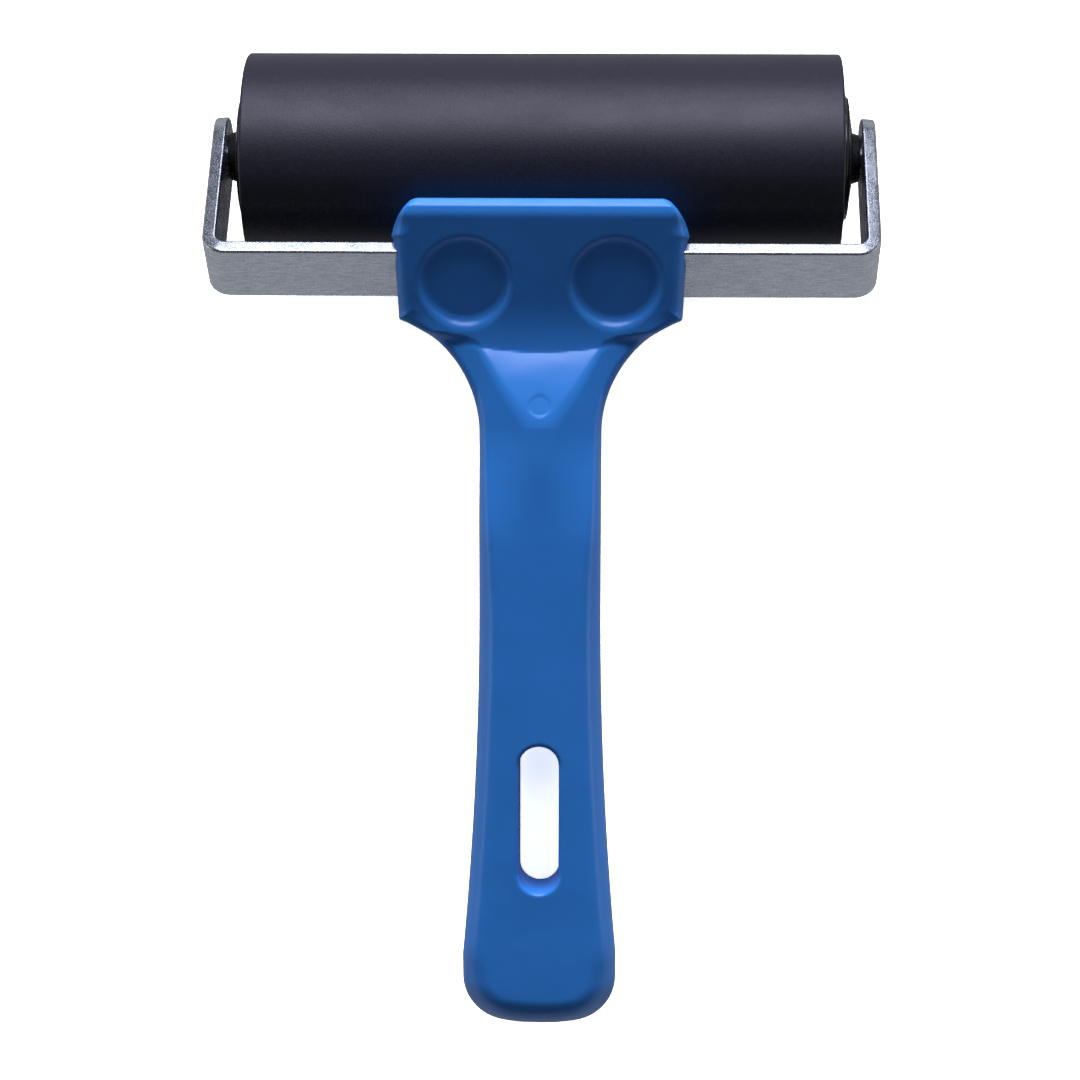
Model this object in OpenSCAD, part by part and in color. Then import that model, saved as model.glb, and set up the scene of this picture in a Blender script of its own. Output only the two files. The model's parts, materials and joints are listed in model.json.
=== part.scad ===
// Rubber brayer: a printmaking ink roller with a 100 mm rubber roller, a bent
// steel yoke and a moulded plastic handle.
//
// It stands as it is laid down on a bench: the roller and the underside of the
// handle's end touch the surface at z = 0. X runs along the roller, +Y from the
// handle to the roller, +Z up. The origin is the middle of the footprint.

/* [Roller] */
// Length of the rubber
roller_l = 100; // [60:1:150]
// Outside diameter of the rubber
roller_d = 35; // [30:0.5:45]
// Round on the rubber's two end edges
roller_edge = 0.5; // [0.2:0.1:1.5]
// Outside diameter of the tube under the rubber
core_d = 25; // [23:0.5:27]
// Wall of that tube
core_wall = 2.5; // [1.5:0.1:3]

/* [Roller ends] */
// Diameter of the cap's rim, which stands on the end of the tube
cap_rim_d = 22.2; // [21.5:0.1:23]
// Thickness of that rim
cap_rim_t = 0.9; // [0.6:0.1:1.5]
// How far the cap's spigot reaches into the tube
cap_spigot_l = 7; // [4:0.5:12]
// Diameter of the bush's shank in the cap
bush_d = 10; // [9:0.5:12]
// Diameter of the bush's thin flange
bush_flange_d = 20.6; // [16:0.2:21]
// Diameter of the bush's nose, which faces the arm
nose_d = 8.8; // [7.5:0.1:9.5]
// Running clearance between the bush's nose and the arm
nose_gap = 0.15; // [0.1:0.05:0.5]

/* [Axle] */
// Diameter of the axle
axle_d = 5; // [4:0.5:6]
// Radial clearance between the axle and the bushes
axle_clearance = 0.05; // [0.02:0.01:0.1]

/* [Yoke] */
// Width of the steel strip
strip_w = 12; // [10:0.5:16]
// Thickness of the steel strip
strip_t = 2.4; // [2:0.1:3]
// From the end of the rubber to the inside of the arm
arm_gap = 3.65; // [3.6:0.05:5]
// From the axle to the outer face of the cross-member
yoke_reach = 25.4; // [25:0.1:32]
// From the axle to the tip of the arm
arm_tip = 7; // [6.5:0.1:12]
// Inside radius of the two bends
bend_r = 1.6; // [1:0.1:4]

/* [Head] */
// Angle between the handle and the plane of the yoke
bend_angle = 42.4; // [30:0.2:50]
// Width of the head at its widest
head_w = 49; // [44:0.2:60]
// Plastic between the strip and the roller
front_wall = 3.2; // [2:0.1:3.4]
// Height of the head's top land above the middle of the strip
head_rise = 13.4; // [11:0.1:16]
// Plastic below the strip
bottom_wall = 2.6; // [2:0.1:4]
// Width of the top land
land_w = 2.4; // [1.5:0.1:4]
// Fall of the head's face towards the handle, from the handle's own plane
face_fall = 12; // [5:0.5:20]
// Diameter of the two dished recesses in the face
dish_d = 15.8; // [12:0.2:17]
// Depth of those recesses
dish_depth = 1; // [0.6:0.1:1.2]
// Distance between the two recesses, and between the two rivets behind them
dish_pitch = 24.8; // [20:0.2:28]
// Radius of the concave shoulders between head and handle
shoulder_r = 20; // [16:0.5:21]

/* [Rivets] */
// Diameter of the rivets' shanks
rivet_d = 4; // [3:0.5:5]
// Diameter of the rivets' heads
rivet_head_d = 7; // [6:0.5:8]
// Thickness of those heads
rivet_head_t = 1.2; // [0.8:0.1:1.6]
// Length of the rivets
rivet_l = 7.6; // [6:0.1:8]

/* [Handle] */
// From the middle of the strip to the end of the handle
handle_l = 129.2; // [110:0.2:150]
// Thickness of the handle
handle_t = 9.8; // [8:0.1:12]
// Height of the handle's top face above the middle of the strip
handle_top = 7; // [6:0.1:9]
// Width of the handle at its neck
neck_w = 20.4; // [18:0.2:24]
// Width of the handle near its end
grip_w = 26.2; // [24:0.2:30]
// Corner radius of the end, seen from above
end_corner_r = 8; // [5:0.5:10]
// Round between the end and the top face
end_top_r = 4.5; // [2:0.1:5]
// Round between the end and the underside
end_bottom_r = 3; // [2:0.1:4]

/* [Hanging slot] */
// Width of the slot
slot_w = 6.7; // [5:0.1:9]
// Length of the slot
slot_l = 25.3; // [16:0.1:30]
// From the end of the handle to the near end of the slot
slot_inset = 24.3; // [16:0.1:30]

/* [Hidden] */

ARC_STEPS = 16;
HOLE_FN = 64;
ROLLER_FN = 128;
PAST = 20;

// The scoop where the head's face meets the handle starts at the crease and
// ends where the handle's top face is level.
crease_p = -12.9;
scoop_end_p = -25.7;
// The head is widest at the first, and its lower corners are at the second,
// where each side has drawn in by the draft.
widest_p = 5.6;
head_low_p = -8.2;
head_draft = 1;
corner_arc_r = 9.4;
dish_p = -1.5;
shoulder_end_p = -27;
flare_start_p = -55;
flare_end_p = -117;
keel_end_p = -34;
// Wall of the cap's spigot, and of the web that holds the bush.
cup_wall = 1.6;
web_t = 2.5;
// The bush's flange stands off the cap's rim on a narrow seat, and a shallow
// dome in two steps joins it to the nose.
seat_r = 8;
seat_t = 0.15;
flange_t = 0.25;
dome_r = 7.8;
dome_rise = 0.35;
dome_top_r = 5.4;
dome_top_rise = 0.75;
nose_taper = 0.5;

// Middle of the strip, measured from the axle along the arms.
strip_mid = yoke_reach - strip_t / 2;
arm_inside = roller_l / 2 + arm_gap;
arm_outside = arm_inside + strip_t;

// A point given along and across the yoke, in the handle's own plane.
function in_handle(along, across) = [
    along * cos(bend_angle) + across * sin(bend_angle),
    -along * sin(bend_angle) + across * cos(bend_angle)
];

front_face = strip_t / 2 + front_wall;
land_back = in_handle(front_face - land_w, head_rise);

// Height of the head's face at a place along the handle.
function face_q(p) = land_back[1] - (land_back[0] - p) * tan(face_fall);

// The yoke leans so that the handle's end and the roller both touch z = 0.
end_round_p = -handle_l + end_bottom_r;
end_round_q = handle_top - handle_t + end_bottom_r;
lean_s = strip_mid - end_round_p * cos(bend_angle) + end_round_q * sin(bend_angle);
lean_c = end_round_p * sin(bend_angle) + end_round_q * cos(bend_angle);
lean_k = sqrt(lean_s * lean_s + lean_c * lean_c);
yoke_lean = asin((end_bottom_r - roller_d / 2) / lean_k) - atan2(lean_c, lean_s);
handle_lean = bend_angle - yoke_lean;

// The footprint runs from the round above the handle's end to the roller.
top_round_p = -handle_l + end_top_r;
top_round_q = handle_top - end_top_r;
back_reach = strip_mid * cos(yoke_lean) - top_round_p * cos(handle_lean)
    + top_round_q * sin(handle_lean) + end_top_r;
axle_y = (back_reach - roller_d / 2) / 2;
axle_z = roller_d / 2;

function arc(centre, r, from, to) = [
    for (i = [0:ARC_STEPS])
        let (angle = from + (to - from) * i / ARC_STEPS)
            centre + r * [cos(angle), sin(angle)]
];

// The yoke's frame: origin on the axle, Y along the arms to their tips.
module yoke_frame() {
    translate([0, axle_y, axle_z])
        rotate([-yoke_lean, 0, 0])
            children();
}

// The handle's frame: origin in the middle of the strip, Y along the handle
// to the head, Z up from its top face.
module handle_frame() {
    yoke_frame()
        translate([0, -strip_mid, 0])
            rotate([bend_angle, 0, 0])
                children();
}

// The roller's frame: Z along the axle, away from the middle, for one end.
module roller_end(side) {
    translate([side * roller_l / 2, axle_y, axle_z])
        rotate([0, side * 90, 0])
            children();
}

// Extrudes a Y-Z outline along X.
module across_x(width) {
    rotate([90, 0, 90])
        linear_extrude(height = width, center = true)
            children();
}

// Side outline of the head and handle.
module side_outline() {
    front_low = in_handle(front_face, -strip_w / 2 - bottom_wall);
    front_top = in_handle(front_face, head_rise);
    rise = handle_top - face_q(crease_p);
    run = crease_p - scoop_end_p;
    scoop_r = (run * run + rise * rise) / (2 * rise);
    scoop_angle = asin(run / scoop_r);
    // The underside curves down from the handle to the head's lowest edge.
    underside = handle_top - handle_t;
    keel_run = front_low[0] - keel_end_p;
    keel_drop = underside - front_low[1];
    keel_r = (keel_run * keel_run + keel_drop * keel_drop) / (2 * keel_drop);
    keel_angle = asin(keel_run / keel_r);
    polygon(concat(
        [front_top, land_back],
        arc([scoop_end_p, handle_top - scoop_r], scoop_r, 90 - scoop_angle, 90),
        arc([top_round_p, top_round_q], end_top_r, 90, 180),
        arc([end_round_p, end_round_q], end_bottom_r, 180, 270),
        arc([keel_end_p, underside - keel_r], keel_r, 90, 90 - keel_angle)
    ));
}

// Half of the outline of the head and handle from above, on the +X side.
function half_plan() = let (
    neck = neck_w / 2,
    grip = grip_w / 2,
    low = head_w / 2 - head_draft,
    top_p = in_handle(front_face, head_rise)[0],
    corner_end = asin((top_p - widest_p) / corner_arc_r),
    shoulder_x = neck + shoulder_r,
    shoulder_from = atan2(head_low_p - shoulder_end_p, low - shoulder_x),
    flare_run = flare_start_p - flare_end_p,
    flare_rise = grip - neck,
    flare_r = (flare_run * flare_run + flare_rise * flare_rise) / (2 * flare_rise),
    flare_turn = asin(flare_run / flare_r),
    end_x = grip - end_corner_r
) concat(
    [[0, top_p]],
    arc([head_w / 2 - corner_arc_r, widest_p], corner_arc_r, corner_end, 0),
    [[low, head_low_p]],
    arc([shoulder_x, shoulder_end_p], shoulder_r, shoulder_from, 180),
    arc([neck + flare_r, flare_start_p], flare_r, 180, 180 + flare_turn),
    arc([end_x, end_corner_r - handle_l], end_corner_r, 0, -90),
    [[0, -handle_l]]
);

module plan_outline() {
    half = half_plan();
    last = len(half) - 1;
    polygon(concat(half, [for (i = [last - 1:-1:1]) [-half[i][0], half[i][1]]]));
}

// The strip's own space, running through the head.
module strip_tunnel() {
    rotate([-bend_angle, 0, 0])
        cube([head_w + PAST, strip_t, strip_w], center = true);
}

module hanging_slot() {
    straight = slot_l - slot_w;
    near = slot_inset + slot_w / 2 - handle_l;
    translate([0, near + straight / 2, handle_top - handle_t / 2]) {
        cube([slot_w, straight, handle_t + PAST], center = true);
        for (end = [-1, 1])
            translate([0, end * straight / 2, 0])
                cylinder(d = slot_w, h = handle_t + PAST, center = true, $fn = HOLE_FN);
    }
}

// One dished recess, sunk square to the head's face.
module dish(side) {
    translate([side * dish_pitch / 2, dish_p, face_q(dish_p)])
        rotate([face_fall, 0, 0])
            translate([0, 0, -dish_depth])
                cylinder(d = dish_d, h = PAST, $fn = HOLE_FN);
}

// A rivet driven from the roller's side, through the strip and into the head.
module rivet(side, grow) {
    rotate([-bend_angle, 0, 0])
        translate([side * dish_pitch / 2, front_face, 0])
            rotate([90, 0, 0]) {
                translate([0, 0, -grow])
                    cylinder(d = rivet_head_d, h = rivet_head_t + grow, $fn = HOLE_FN);
                cylinder(d = rivet_d, h = rivet_l, $fn = HOLE_FN);
            }
}

module handle() {
    color([0.11, 0.38, 0.69])
        handle_frame()
            difference() {
                intersection() {
                    across_x(head_w + PAST)
                        side_outline();
                    linear_extrude(height = head_w + PAST, center = true)
                        plan_outline();
                }
                strip_tunnel();
                hanging_slot();
                for (side = [-1, 1]) {
                    dish(side);
                    rivet(side, PAST);
                }
            }
}

// Outline of the bent strip, seen square to the yoke's plane.
module strip_outline() {
    outer_r = bend_r + strip_t;
    bend_x = arm_outside - outer_r;
    bend_y = outer_r - yoke_reach;
    polygon(concat(
        [[arm_inside, arm_tip], [arm_outside, arm_tip]],
        arc([bend_x, bend_y], outer_r, 0, -90),
        arc([-bend_x, bend_y], outer_r, -90, -180),
        [[-arm_outside, arm_tip], [-arm_inside, arm_tip]],
        arc([-bend_x, bend_y], bend_r, -180, -90),
        arc([bend_x, bend_y], bend_r, -90, 0)
    ));
}

// Outline of an arm with its round tip, seen along the axle.
module arm_outline() {
    tip_r = strip_w / 2;
    polygon(concat(
        [[-yoke_reach, tip_r], [-yoke_reach, -tip_r]],
        arc([arm_tip - tip_r, 0], tip_r, -90, 90)
    ));
}

module yoke() {
    color([0.66, 0.69, 0.74])
        yoke_frame()
            difference() {
                intersection() {
                    linear_extrude(height = strip_w + PAST, center = true)
                        strip_outline();
                    across_x(2 * arm_outside + PAST)
                        arm_outline();
                }
                rotate([0, 90, 0])
                    cylinder(d = axle_d, h = 2 * arm_outside + PAST, center = true, $fn = HOLE_FN);
                translate([0, -strip_mid, 0])
                    rotate([90, 0, 0])
                        for (side = [-1, 1])
                            translate([side * dish_pitch / 2, 0, 0])
                                cylinder(d = rivet_d, h = strip_t + PAST, center = true, $fn = HOLE_FN);
            }
}

module head_rivets() {
    color([0.62, 0.64, 0.67])
        handle_frame()
            for (side = [-1, 1])
                rivet(side, 0);
}

module axle() {
    color([0.55, 0.57, 0.6])
        translate([0, axle_y, axle_z])
            rotate([0, 90, 0])
                cylinder(d = axle_d, h = 2 * arm_outside, center = true, $fn = HOLE_FN);
}

module roller_sleeve() {
    half = roller_l / 2;
    outer = roller_d / 2;
    inner = core_d / 2;
    color([0.1, 0.1, 0.12])
        translate([0, axle_y, axle_z])
            rotate([0, 90, 0])
                rotate_extrude($fn = ROLLER_FN)
                    polygon([
                        [inner, -half], [outer - roller_edge, -half], [outer, roller_edge - half],
                        [outer, half - roller_edge], [outer - roller_edge, half], [inner, half]
                    ]);
}

module roller_core() {
    color([0.5, 0.5, 0.52])
        translate([0, axle_y, axle_z])
            rotate([0, 90, 0])
                difference() {
                    cylinder(d = core_d, h = roller_l, center = true, $fn = ROLLER_FN);
                    cylinder(d = core_d - 2 * core_wall, h = roller_l + PAST, center = true, $fn = ROLLER_FN);
                }
}

// A cup pressed into the end of the tube, with a thin rim that stands on it.
module end_cap(side) {
    spigot = core_d / 2 - core_wall;
    color([0.14, 0.14, 0.16])
        roller_end(side)
            rotate_extrude($fn = ROLLER_FN)
                polygon([
                    [bush_d / 2, -web_t], [bush_d / 2, cap_rim_t], [cap_rim_d / 2, cap_rim_t],
                    [cap_rim_d / 2, 0], [spigot, 0], [spigot, -cap_spigot_l],
                    [spigot - cup_wall, -cap_spigot_l], [spigot - cup_wall, -web_t]
                ]);
}

module end_cap_left() {
    end_cap(-1);
}

module end_cap_right() {
    end_cap(1);
}

// A plain bearing bush: shank in the cap, thin dished flange, tapered nose.
module bush(side) {
    bore = axle_d / 2 + axle_clearance;
    flange_r = bush_flange_d / 2;
    flange_near = cap_rim_t + seat_t;
    flange_far = flange_near + flange_t;
    dome_end = flange_far + dome_top_rise;
    nose_end = arm_gap - nose_gap;
    color([0.07, 0.07, 0.08])
        roller_end(side)
            rotate_extrude($fn = HOLE_FN)
                polygon([
                    [bore, -cap_spigot_l], [bore, nose_end], [nose_d / 2 - nose_taper, nose_end],
                    [nose_d / 2, dome_end], [dome_top_r, dome_end], [dome_r, flange_far + dome_rise],
                    [flange_r, flange_far], [flange_r, flange_near], [seat_r, flange_near],
                    [seat_r, cap_rim_t], [bush_d / 2, cap_rim_t], [bush_d / 2, -cap_spigot_l]
                ]);
}

module bush_left() {
    bush(-1);
}

module bush_right() {
    bush(1);
}

handle();
yoke();
head_rivets();
axle();
roller_sleeve();
roller_core();
end_cap_left();
end_cap_right();
bush_left();
bush_right();
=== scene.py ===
import json
import math

import bmesh
import bpy
import numpy as np
from mathutils import Matrix, Vector


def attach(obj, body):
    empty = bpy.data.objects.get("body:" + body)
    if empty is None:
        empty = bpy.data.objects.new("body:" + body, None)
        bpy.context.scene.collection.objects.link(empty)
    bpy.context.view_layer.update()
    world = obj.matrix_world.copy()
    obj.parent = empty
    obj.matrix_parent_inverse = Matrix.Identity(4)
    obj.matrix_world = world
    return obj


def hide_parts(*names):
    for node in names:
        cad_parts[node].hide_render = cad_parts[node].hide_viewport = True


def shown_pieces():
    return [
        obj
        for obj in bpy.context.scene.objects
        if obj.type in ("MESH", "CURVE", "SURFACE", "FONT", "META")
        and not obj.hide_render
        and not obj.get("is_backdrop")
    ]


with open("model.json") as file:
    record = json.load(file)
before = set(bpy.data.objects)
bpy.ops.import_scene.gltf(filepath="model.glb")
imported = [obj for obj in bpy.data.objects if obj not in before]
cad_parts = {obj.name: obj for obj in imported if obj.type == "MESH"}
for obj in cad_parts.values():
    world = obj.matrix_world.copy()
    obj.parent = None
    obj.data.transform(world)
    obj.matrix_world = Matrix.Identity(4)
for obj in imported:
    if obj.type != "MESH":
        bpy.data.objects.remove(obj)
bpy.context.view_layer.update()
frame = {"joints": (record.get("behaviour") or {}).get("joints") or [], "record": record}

# Driving sizes of the brayer, in mm, as in the CAD model.
ROLLER_L = 100.0
ROLLER_D = 35.0
ROLLER_EDGE = 0.5
CORE_D = 25.0
CORE_WALL = 2.5
CAP_RIM_D = 22.2
CAP_RIM_T = 0.9
CAP_SPIGOT_L = 7.0
CUP_WALL = 1.6
WEB_T = 2.5
BUSH_D = 10.0
BUSH_FLANGE_D = 20.6
NOSE_D = 8.8
NOSE_END = 3.5
SEAT_R = 8.0
SEAT_T = 0.15
FLANGE_T = 0.25
DOME_R = 7.8
DOME_RISE = 0.35
DOME_TOP_R = 5.4
DOME_TOP_RISE = 0.75
NOSE_TAPER = 0.5
AXLE_D = 5.0
AXLE_CLEARANCE = 0.05
STRIP_W = 12.0
STRIP_T = 2.4
ARM_GAP = 3.65
YOKE_REACH = 25.4
ARM_TIP = 7.0
BEND_R = 1.6
BEND_ANGLE = 42.4
HEAD_W = 49.0
FRONT_WALL = 3.2
HEAD_RISE = 13.4
BOTTOM_WALL = 2.6
LAND_W = 2.4
DISH_D = 15.8
DISH_DEPTH = 1.0
DISH_PITCH = 24.8
SHOULDER_R = 20.0
SHOULDER_END_P = -27.0
RIVET_D = 4.0
RIVET_HEAD_D = 7.0
RIVET_HEAD_T = 1.2
RIVET_L = 7.6
HANDLE_L = 129.2
HANDLE_T = 9.8
HANDLE_TOP = 7.0
NECK_W = 20.4
GRIP_W = 26.2
END_CORNER_R = 8.0
END_TOP_R = 5.8
END_BOTTOM_R = 3.0
SLOT_W = 6.7
SLOT_L = 25.3
SLOT_INSET = 24.3
CREASE_P = -12.9
SCOOP_END_P = -25.7
WIDEST_P = 5.6
HEAD_LOW_P = -8.2
HEAD_DRAFT = 1.0
CORNER_ARC_R = 9.4
DISH_P = -1.5
FLARE_START_P = -55.0
FLARE_END_P = -117.0
KEEL_END_P = -34.0

# Sizes that only the looks need, in mm. Places are in the handle's own frame: p runs
# along the handle towards the roller and q up from it, both from the strip's middle.
FACE_FALL = math.radians(14.5)
FACE_BEND_P = -5.0
LAND_DROP = 0.13
SHELF_W = 0.9
SHELF_FALL = math.radians(6.0)
CREASE_Q = 3.3
CREASE_FALL = math.radians(1.0)
CREASE_BOW = 0.9
CREASE_BOW_REACH = 6.5
# The scoop's slopes: its facet's, what it adds at the crease, and how soon that fades.
SCOOP_FACET = 0.19
SCOOP_STEEPER = 0.24
SCOOP_FADE = 5.0
# The scoop's half-widths at the crease and at its tip, and how steeply the flanks go on past it.
SCOOP_HALF = 10.4
VERTEX_HALF = 1.8
FLANK = 1.7
# The grip's crown: a flat middle, and how far its sides fall.
CROWN_FLAT = 3.2
CROWN_DROP = 1.5
CROWN_POWER = 1.5
# How far the crown is lifted clear of the head, where the side's outline makes the top.
HEAD_LIFT = 4.5
# Stretches of p over which one shape passes into the next.
GRIP_TO_NECK = (-46, -26)
NECK_TO_HEAD = (-34, -12)
CROWN_TO_HEAD = (-13.0, -4.5)
SCOOP_TO_SOFT = (-33, -24)
NECK_EDGE_IN = (-62, -24)
NECK_EDGE_OUT = (-6.5, -9.5)
FRONT_EDGE_IN = (7.0, 11.4)
# Radii of the edge around the plan, and the heights between which low turns to top.
GRIP_EDGE_LOW, GRIP_EDGE_TOP = 2.6, 3.9
HEAD_EDGE_LOW, HEAD_EDGE_TOP = 1.3, 2.9
GRIP_LOW_Q, GRIP_TOP_Q = -1.0, 4.5
HEAD_LOW_Q, HEAD_TOP_Q = -6.0, 2.0
NECK_EDGE = 1.3
FRONT_EDGE = 0.6
# How far the head's front corners are flatter than an arc, and how far they turn, in degrees.
CORNER_PULL = 1.9
CORNER_TURN = 75
# How far the middle of the handle's end bows out, and how far the side's outline passes it.
END_BOW = 0.2
END_PAST = 3.0
# The ledge where the head's draft starts.
LEDGE = 0.3
# The dishes' floor, and how their walls flare and turn into floor and face.
DISH_LEAN = FACE_FALL + math.radians(1.0)
DISH_FLOOR = 0.78 * DISH_DEPTH
DISH_FLOOR_R = DISH_D / 2 - 1.1
DISH_FLARE = 1.25
DISH_FLOOR_EDGE = 0.45
DISH_RIM_EDGE = 0.3
# Clearance around the strip and the rivets, and the edges of the openings.
FIT = 0.06
TUNNEL_CORNER_R = 0.5
TUNNEL_EDGE = 0.35
SLOT_EDGE = 0.8
COUNTERBORE_EDGE = 0.25
# The gate's mark and the parting line stand this far under the surface.
GATE_P = -22.0
GATE_R = 2.1
GATE_DEPTH = 0.1
PARTING_DEPTH = 0.07
PARTING_HALF = 0.3
PARTING_GRIP_Q, PARTING_HEAD_Q = 1.2, -1.5
# The strip's edges, and how far its arms' front edges roll outwards, in degrees.
STRIP_EDGE = 0.45
ROLL_RIGHT = 9
ROLL_LEFT = 12
# The bores for the axle: their clearance and chamfer.
BORE_FIT = 0.03
BORE_CHAMFER = 0.25
# The axle: how far its ends stay inside the arms, and the turning centres in them.
AXLE_INSET = 0.12
CENTRE_R = 0.95
CENTRE_DEPTH = 0.75
CORE_INSET = 0.1
# The rivets: how far they stay under the head's front, and their low dome.
RIVET_UNDER = 0.1
RIVET_FLAT_R = 1.9
RIVET_RIM_X = -0.45

MM = 0.001
STRIP_MID = YOKE_REACH - STRIP_T / 2
ARM_INSIDE = ROLLER_L / 2 + ARM_GAP
ARM_OUTSIDE = ARM_INSIDE + STRIP_T
FRONT_FACE = STRIP_T / 2 + FRONT_WALL
BEND = math.radians(BEND_ANGLE)

# The frames: the axle and the handle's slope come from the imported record.
record = frame["record"]
AXLE = Vector(frame["joints"][0]["pos_m"])
slot_axis = next(m for m in record["mounts"] if m["name"] == "hanging_slot")["axis"]
HANDLE_LEAN = math.atan2(-slot_axis[1], slot_axis[2])
YOKE_LEAN = BEND - HANDLE_LEAN
ROLLER_FRAME = Matrix.Translation(AXLE) @ Matrix.Scale(MM, 4)
YOKE_FRAME = Matrix.Translation(AXLE) @ Matrix.Rotation(-YOKE_LEAN, 4, "X") @ Matrix.Scale(MM, 4)
HANDLE_FRAME = YOKE_FRAME @ Matrix.Translation((0, -STRIP_MID, 0)) @ Matrix.Rotation(BEND, 4, "X")


# ---------------------------------------------------------------- shape tools
def arc(cx, cy, r, start, end, steps=24):
    """Points on an arc, angles in degrees."""
    turn = np.radians(np.linspace(start, end, steps + 1))
    return [(cx + r * math.cos(t), cy + r * math.sin(t)) for t in turn]


def rounded(corners, steps=5):
    """A closed outline from (x, y, radius) corners, each rounded to its radius."""
    out = []
    n = len(corners)
    for i, (x, y, r) in enumerate(corners):
        here = np.array([x, y])
        if r <= 0:
            out.append((x, y))
            continue
        back = np.array(corners[i - 1][:2]) - here
        ahead = np.array(corners[(i + 1) % n][:2]) - here
        room_back, room_ahead = np.linalg.norm(back), np.linalg.norm(ahead)
        back, ahead = back / room_back, ahead / room_ahead
        # A rounding keeps to its own half of each side.
        half = math.acos(max(-1.0, min(1.0, float(back @ ahead)))) / 2
        reach = min(r / math.tan(half), 0.49 * room_back, 0.49 * room_ahead)
        r = reach * math.tan(half)
        middle = (back + ahead) / np.linalg.norm(back + ahead)
        centre = here + middle * r / math.sin(half)
        first, last = here + back * reach - centre, here + ahead * reach - centre
        a0 = math.atan2(first[1], first[0])
        turn = math.atan2(last[1], last[0]) - a0
        turn = (turn + math.pi) % (2 * math.pi) - math.pi
        for k in range(steps + 1):
            a = a0 + turn * k / steps
            out.append((centre[0] + r * math.cos(a), centre[1] + r * math.sin(a)))
    return out


def smooth_step(low, high, value):
    """0 at low and 1 at high, level at both. Low may be the larger."""
    t = np.clip((value - low) / (high - low), 0.0, 1.0)
    return t * t * (3 - 2 * t)


def mix(a, b, share):
    """The value that lies a share of the way from a to b."""
    return a + (b - a) * share


def round_and(a, b, r):
    """Signed distance to what two solids share, with their common edge rounded."""
    corner = np.hypot(np.maximum(r + a, 0), np.maximum(r + b, 0))
    return np.minimum(-r, np.maximum(a, b)) + corner


class Outline:
    """Signed distance to a closed outline, negative inside, from a fine table."""

    STEP = 0.15
    FAR = 1e9
    SHORTEST_SQUARED = 1e-12

    def __init__(self, points, low, high):
        self.low = np.array(low, float)
        axes = [np.arange(low[i], high[i] + self.STEP, self.STEP) for i in (0, 1)]
        u, v = np.meshgrid(*axes, indexing="ij")
        near = np.full(u.shape, self.FAR)
        inside = np.zeros(u.shape, bool)
        for (x0, y0), (x1, y1) in zip(points, points[1:] + points[:1]):
            dx, dy = x1 - x0, y1 - y0
            squared = dx * dx + dy * dy
            if squared < self.SHORTEST_SQUARED:
                continue
            t = np.clip(((u - x0) * dx + (v - y0) * dy) / squared, 0, 1)
            near = np.minimum(near, (u - x0 - t * dx) ** 2 + (v - y0 - t * dy) ** 2)
            if y0 != y1:
                crosses = (y0 > v) != (y1 > v)
                inside ^= crosses & (u < x0 + (v - y0) * dx / dy)
        self.table = np.sqrt(near) * np.where(inside, -1, 1)

    def __call__(self, u, v):
        """Reads the table between its points, and at its border beyond it."""
        nu, nv = self.table.shape
        last = 1.001
        i = np.clip((u - self.low[0]) / self.STEP, 0, nu - last)
        j = np.clip((v - self.low[1]) / self.STEP, 0, nv - last)
        i0, j0 = i.astype(int), j.astype(int)
        fi, fj = i - i0, j - j0
        t = self.table
        return (
            t[i0, j0] * (1 - fi) * (1 - fj) + t[i0 + 1, j0] * fi * (1 - fj)
            + t[i0, j0 + 1] * (1 - fi) * fj + t[i0 + 1, j0 + 1] * fi * fj
        )


def slope_of(field, points, reach=0.08):
    """Gradient of the field at the points."""
    out = np.empty_like(points)
    for k in range(3):
        step = np.zeros(3)
        step[k] = reach
        ahead, back = points + step, points - step
        out[:, k] = (field(*ahead.T) - field(*back.T)) / (2 * reach)
    return out


# The surface net's smoothing: rounds of evening out, the share of the way that each
# goes, rounds of drawing back onto the surface, and the flattest slope it trusts.
EVEN_ROUNDS = 3
EVEN_SHARE = 0.5
DRAW_ROUNDS = 2
LEAST_SLOPE = 0.2


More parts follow.
